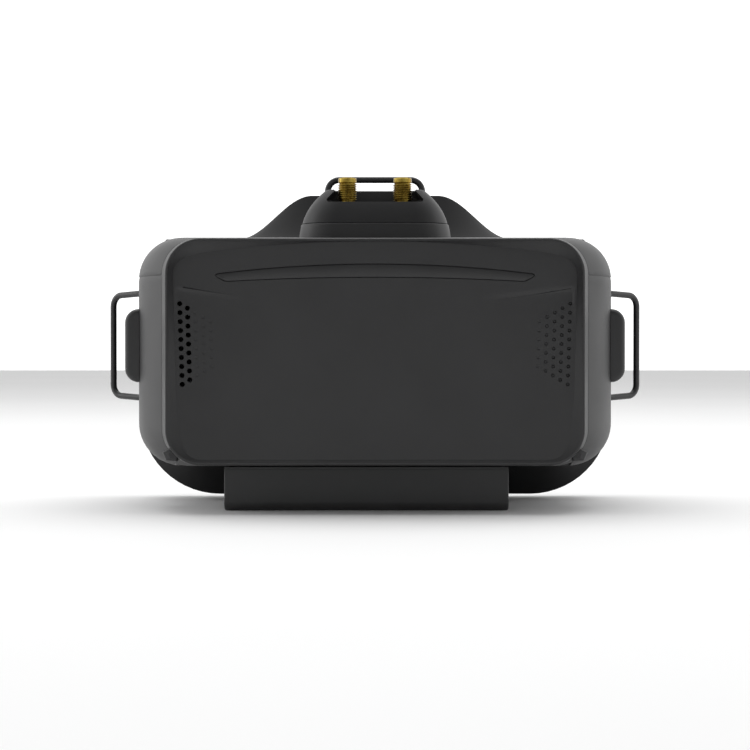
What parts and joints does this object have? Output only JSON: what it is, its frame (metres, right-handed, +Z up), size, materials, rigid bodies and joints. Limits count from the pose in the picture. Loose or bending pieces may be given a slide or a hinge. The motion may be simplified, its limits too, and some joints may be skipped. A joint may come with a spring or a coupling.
{
  "type": "fpv goggles",
  "caption": "Box-shaped video goggles with a flat vented front, a plug-in receiver with antenna connectors on top, wire strap loops, jog wheels, a foam face cushion and a battery pack below.",
  "frame": {"origin": "on the flat underside of the battery pack that the goggles stand on, in the headset's plane of symmetry, midway along the pack's depth", "axes": "+X to the right as seen from the front, +Y from the front cover towards the wearer's face, +Z up"},
  "size_m": [0.184, 0.0992, 0.1124],
  "materials": {
    "cover_plastic": "matte",
    "strip_plastic": "satin",
    "housing_plastic": "matte",
    "receiver_plastic": "matte",
    "frame_plastic": "matte",
    "face_foam": "soft",
    "lens_acrylic": "clear",
    "inner_plastic": "matte",
    "screen_glass": "gloss",
    "board_green": "satin",
    "chip_plastic": "satin",
    "tinned_steel": "satin",
    "screw_steel": "satin",
    "socket_plastic": "satin",
    "connector_brass": "satin",
    "wheel_rubber": "matte",
    "bracket_plastic": "matte",
    "loop_wire": "satin",
    "pack_plastic": "matte",
    "cell_foil": "satin",
    "button_plastic": "satin"
  },
  "bodies": {
    "headset": {"front_cover": "cover_plastic", "trim_strip": "strip_plastic", "upper_housing": "housing_plastic", "lower_housing": "housing_plastic", "housing_screws": "screw_steel", "bay_board": "board_green", "bay_socket": "socket_plastic", "bay_screws": "screw_steel", "face_frame": "frame_plastic", "frame_screws": "screw_steel", "face_foam": "face_foam", "lens": "lens_acrylic", "light_tunnel": "inner_plastic", "display_panel": "screen_glass", "display_frame": "inner_plastic", "main_board": "board_green", "board_screws": "screw_steel", "shield_can": "tinned_steel", "processor": "chip_plastic", "fan_frame": "inner_plastic", "fan_screws": "screw_steel", "left_jog_housing": "housing_plastic", "right_jog_housing": "housing_plastic", "left_strap_bracket": "bracket_plastic", "right_strap_bracket": "bracket_plastic", "bracket_screws": "screw_steel", "top_loop_bracket": "bracket_plastic", "contact_block": "inner_plastic", "contact_blades": "connector_brass", "left_port_board": "board_green", "right_port_board": "board_green", "video_socket": "chip_plastic", "power_socket": "chip_plastic", "data_port": "tinned_steel", "card_slot": "tinned_steel", "power_switch": "chip_plastic"},
    "receiver": {"module_case": "receiver_plastic", "module_board": "board_green", "module_plug": "inner_plastic", "left_antenna_connector": "connector_brass", "right_antenna_connector": "connector_brass"},
    "battery": {"battery_tray": "pack_plastic", "battery_lid": "pack_plastic", "battery_cells": "cell_foil", "pack_terminals": "connector_brass"},
    "left_jog": {"left_jog_wheel": "wheel_rubber"},
    "right_jog": {"right_jog_wheel": "wheel_rubber"},
    "left_loop": {"left_strap_loop": "loop_wire"},
    "right_loop": {"right_strap_loop": "loop_wire"},
    "top_loop": {"top_strap_loop": "loop_wire"},
    "rotor": {"fan_rotor": "inner_plastic"},
    "power_key": {"power_button": "button_plastic"}
  },
  "joints": [
    {"name": "receiver_lift", "type": "slide", "parent": "headset", "child": "receiver", "axis": [0, 0, 1], "range_m": [0, 0.03]},
    {"name": "battery_slide", "type": "slide", "parent": "headset", "child": "battery", "axis": [-1, 0, 0], "range_m": [0, 0.095]},
    {"name": "left_jog_spin", "type": "hinge", "parent": "headset", "child": "left_jog", "pos_m": [-0.0672, 0.002, 0.0837], "axis": [1, 0, 0], "continuous": true},
    {"name": "right_jog_spin", "type": "hinge", "parent": "headset", "child": "right_jog", "pos_m": [0.0672, 0.002, 0.0837], "axis": [1, 0, 0], "continuous": true},
    {"name": "left_loop_hinge", "type": "hinge", "parent": "headset", "child": "left_loop", "pos_m": [-0.0783, 0.018, 0.054], "axis": [0, 0, 1], "range_deg": [-28, 100]},
    {"name": "right_loop_hinge", "type": "hinge", "parent": "headset", "child": "right_loop", "pos_m": [0.0783, 0.018, 0.054], "axis": [0, 0, 1], "range_deg": [-100, 28]},
    {"name": "top_loop_hinge", "type": "hinge", "parent": "headset", "child": "top_loop", "pos_m": [0, 0.0255, 0.0993], "axis": [1, 0, 0], "range_deg": [-40, 38]},
    {"name": "fan_spin", "type": "hinge", "parent": "headset", "child": "rotor", "pos_m": [-0.0647, -0.01, 0.052], "axis": [1, 0, 0], "continuous": true},
    {"name": "power_press", "type": "slide", "parent": "headset", "child": "power_key", "axis": [0, 0, 1], "range_m": [0, 0.0008], "stiffness_N_per_m": 800, "springref_m": -0.0005}
  ]
}
